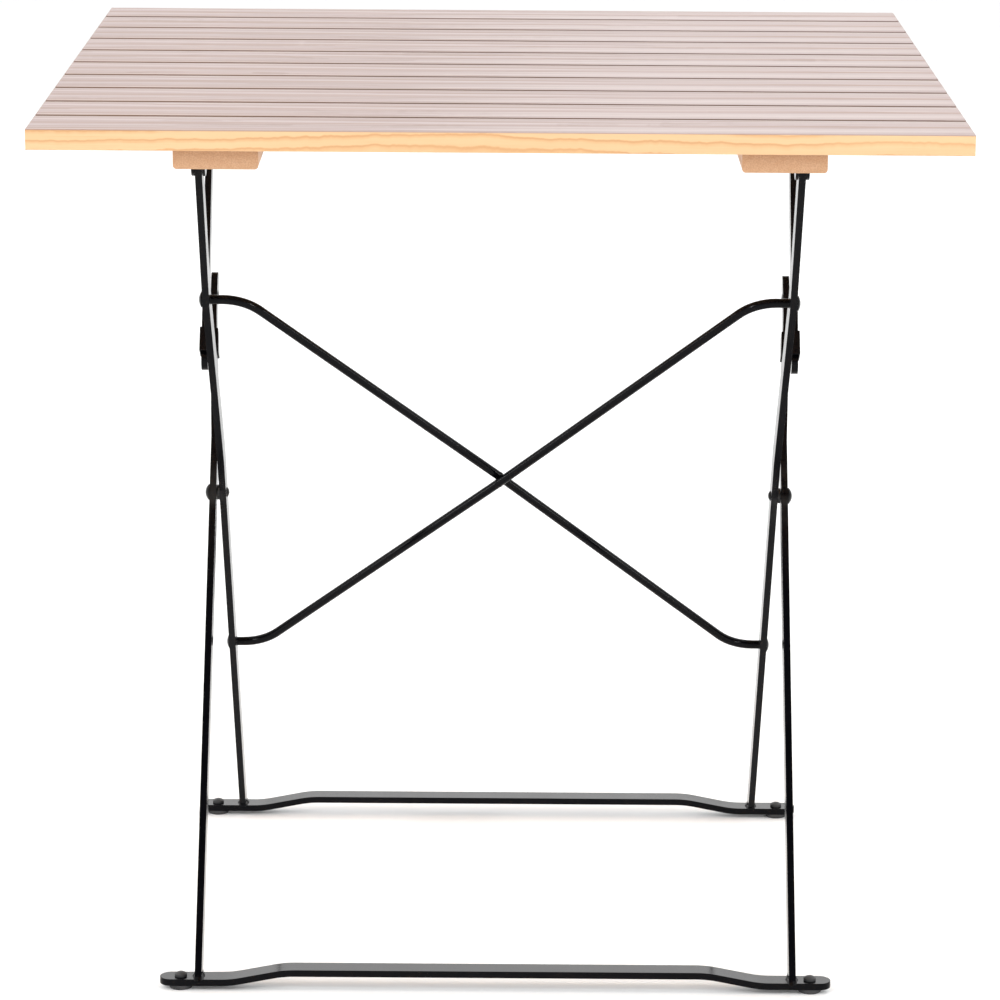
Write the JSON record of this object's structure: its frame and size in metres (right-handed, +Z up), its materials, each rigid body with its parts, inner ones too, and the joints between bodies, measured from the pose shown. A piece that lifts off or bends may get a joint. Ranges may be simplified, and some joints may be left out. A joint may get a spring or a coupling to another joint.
{
  "type": "folding table",
  "caption": "Square folding table with a slatted softwood top on battens, carried by crossed flat-bar steel frames with bent cross rods, folding struts and glides on the foot bars.",
  "frame": {"origin": "on the ground under the middle of the tabletop", "axes": "+Z up, +X along the slats to the right, +Y from the front edge to the rear edge"},
  "size_m": [0.75, 0.75, 0.766],
  "materials": {
    "slat_1": "planed softwood, oiled, eased edges",
    "slat_2": "planed softwood, oiled, eased edges",
    "slat_3": "planed softwood, oiled, eased edges",
    "slat_4": "planed softwood, oiled, eased edges",
    "slat_5": "planed softwood, oiled, eased edges",
    "slat_6": "planed softwood, oiled, eased edges",
    "slat_7": "planed softwood, oiled, eased edges",
    "slat_8": "planed softwood, oiled, eased edges",
    "slat_9": "planed softwood, oiled, eased edges",
    "slat_10": "planed softwood, oiled, eased edges",
    "batten_left": "planed softwood, oiled",
    "batten_right": "planed softwood, oiled",
    "screw_steel": "zinc plated",
    "glide_plastic": "black moulded plastic",
    "rod_steel": "black semi-gloss powder coat",
    "washer_plastic": "black nylon",
    "frame_steel": "black semi-gloss powder coat"
  },
  "bodies": {
    "rear_frame": {"rear_leg_left": "frame_steel", "rear_leg_right": "frame_steel", "rear_foot_bar": "frame_steel", "rear_glides": "glide_plastic", "rear_glide_rivets": "glide_plastic", "cross_rod_left_up": "rod_steel", "cross_rod_right_up": "rod_steel", "rod_nuts_left": "rod_steel", "rod_nuts_right": "rod_steel", "pivot_bolt_left": "frame_steel", "pivot_bolt_right": "frame_steel", "pivot_washers": "washer_plastic"},
    "front_frame": {"front_leg_left": "frame_steel", "front_leg_right": "frame_steel", "front_foot_bar": "frame_steel", "front_glides": "glide_plastic", "front_glide_rivets": "glide_plastic", "knuckle_washers": "washer_plastic", "knuckle_rivets": "frame_steel", "wear_plate_left": "frame_steel", "wear_plate_right": "frame_steel", "wear_plate_rivets": "frame_steel"},
    "tabletop": {"slat_1": "slat_1", "slat_2": "slat_2", "slat_3": "slat_3", "slat_4": "slat_4", "slat_5": "slat_5", "slat_6": "slat_6", "slat_7": "slat_7", "slat_8": "slat_8", "slat_9": "slat_9", "slat_10": "slat_10", "batten_left": "batten_left", "batten_right": "batten_right", "slat_screws_left": "screw_steel", "slat_screws_right": "screw_steel", "top_bracket_left": "frame_steel", "top_bracket_right": "frame_steel", "strut_bracket_left": "frame_steel", "strut_bracket_right": "frame_steel", "bracket_screws": "screw_steel", "top_hinge_pin_left": "frame_steel", "top_hinge_pin_right": "frame_steel", "strut_pin_left": "frame_steel", "strut_pin_right": "frame_steel"},
    "strut_l": {"strut_left": "frame_steel", "tail_rivet_left": "frame_steel", "stop_angle_left": "frame_steel"},
    "strut_r": {"strut_right": "frame_steel", "tail_rivet_right": "frame_steel", "stop_angle_right": "frame_steel"}
  },
  "joints": [
    {"name": "fold", "type": "hinge", "parent": "rear_frame", "child": "front_frame", "pos_m": [0, 0, 0.38], "axis": [1, 0, 0], "range_deg": [0, 60]},
    {"name": "top_tilt", "type": "hinge", "parent": "rear_frame", "child": "tabletop", "pos_m": [0, -0.21885, 0.716], "axis": [1, 0, 0], "range_deg": [-47, 0]},
    {"name": "strut_swing_l", "type": "hinge", "parent": "tabletop", "child": "strut_l", "pos_m": [-0.2675, 0.188, 0.716], "axis": [1, 0, 0], "range_deg": [-59.5, 0]},
    {"name": "strut_swing_r", "type": "hinge", "parent": "tabletop", "child": "strut_r", "pos_m": [0.2675, 0.188, 0.716], "axis": [1, 0, 0], "range_deg": [-59.5, 0]}
  ],
  "couplings": [
    {"joint": "top_tilt", "follows": "fold", "ratio": -0.76503},
    {"joint": "strut_swing_l", "follows": "fold", "ratio": -0.97478},
    {"joint": "strut_swing_r", "follows": "fold", "ratio": -0.97478}
  ]
}
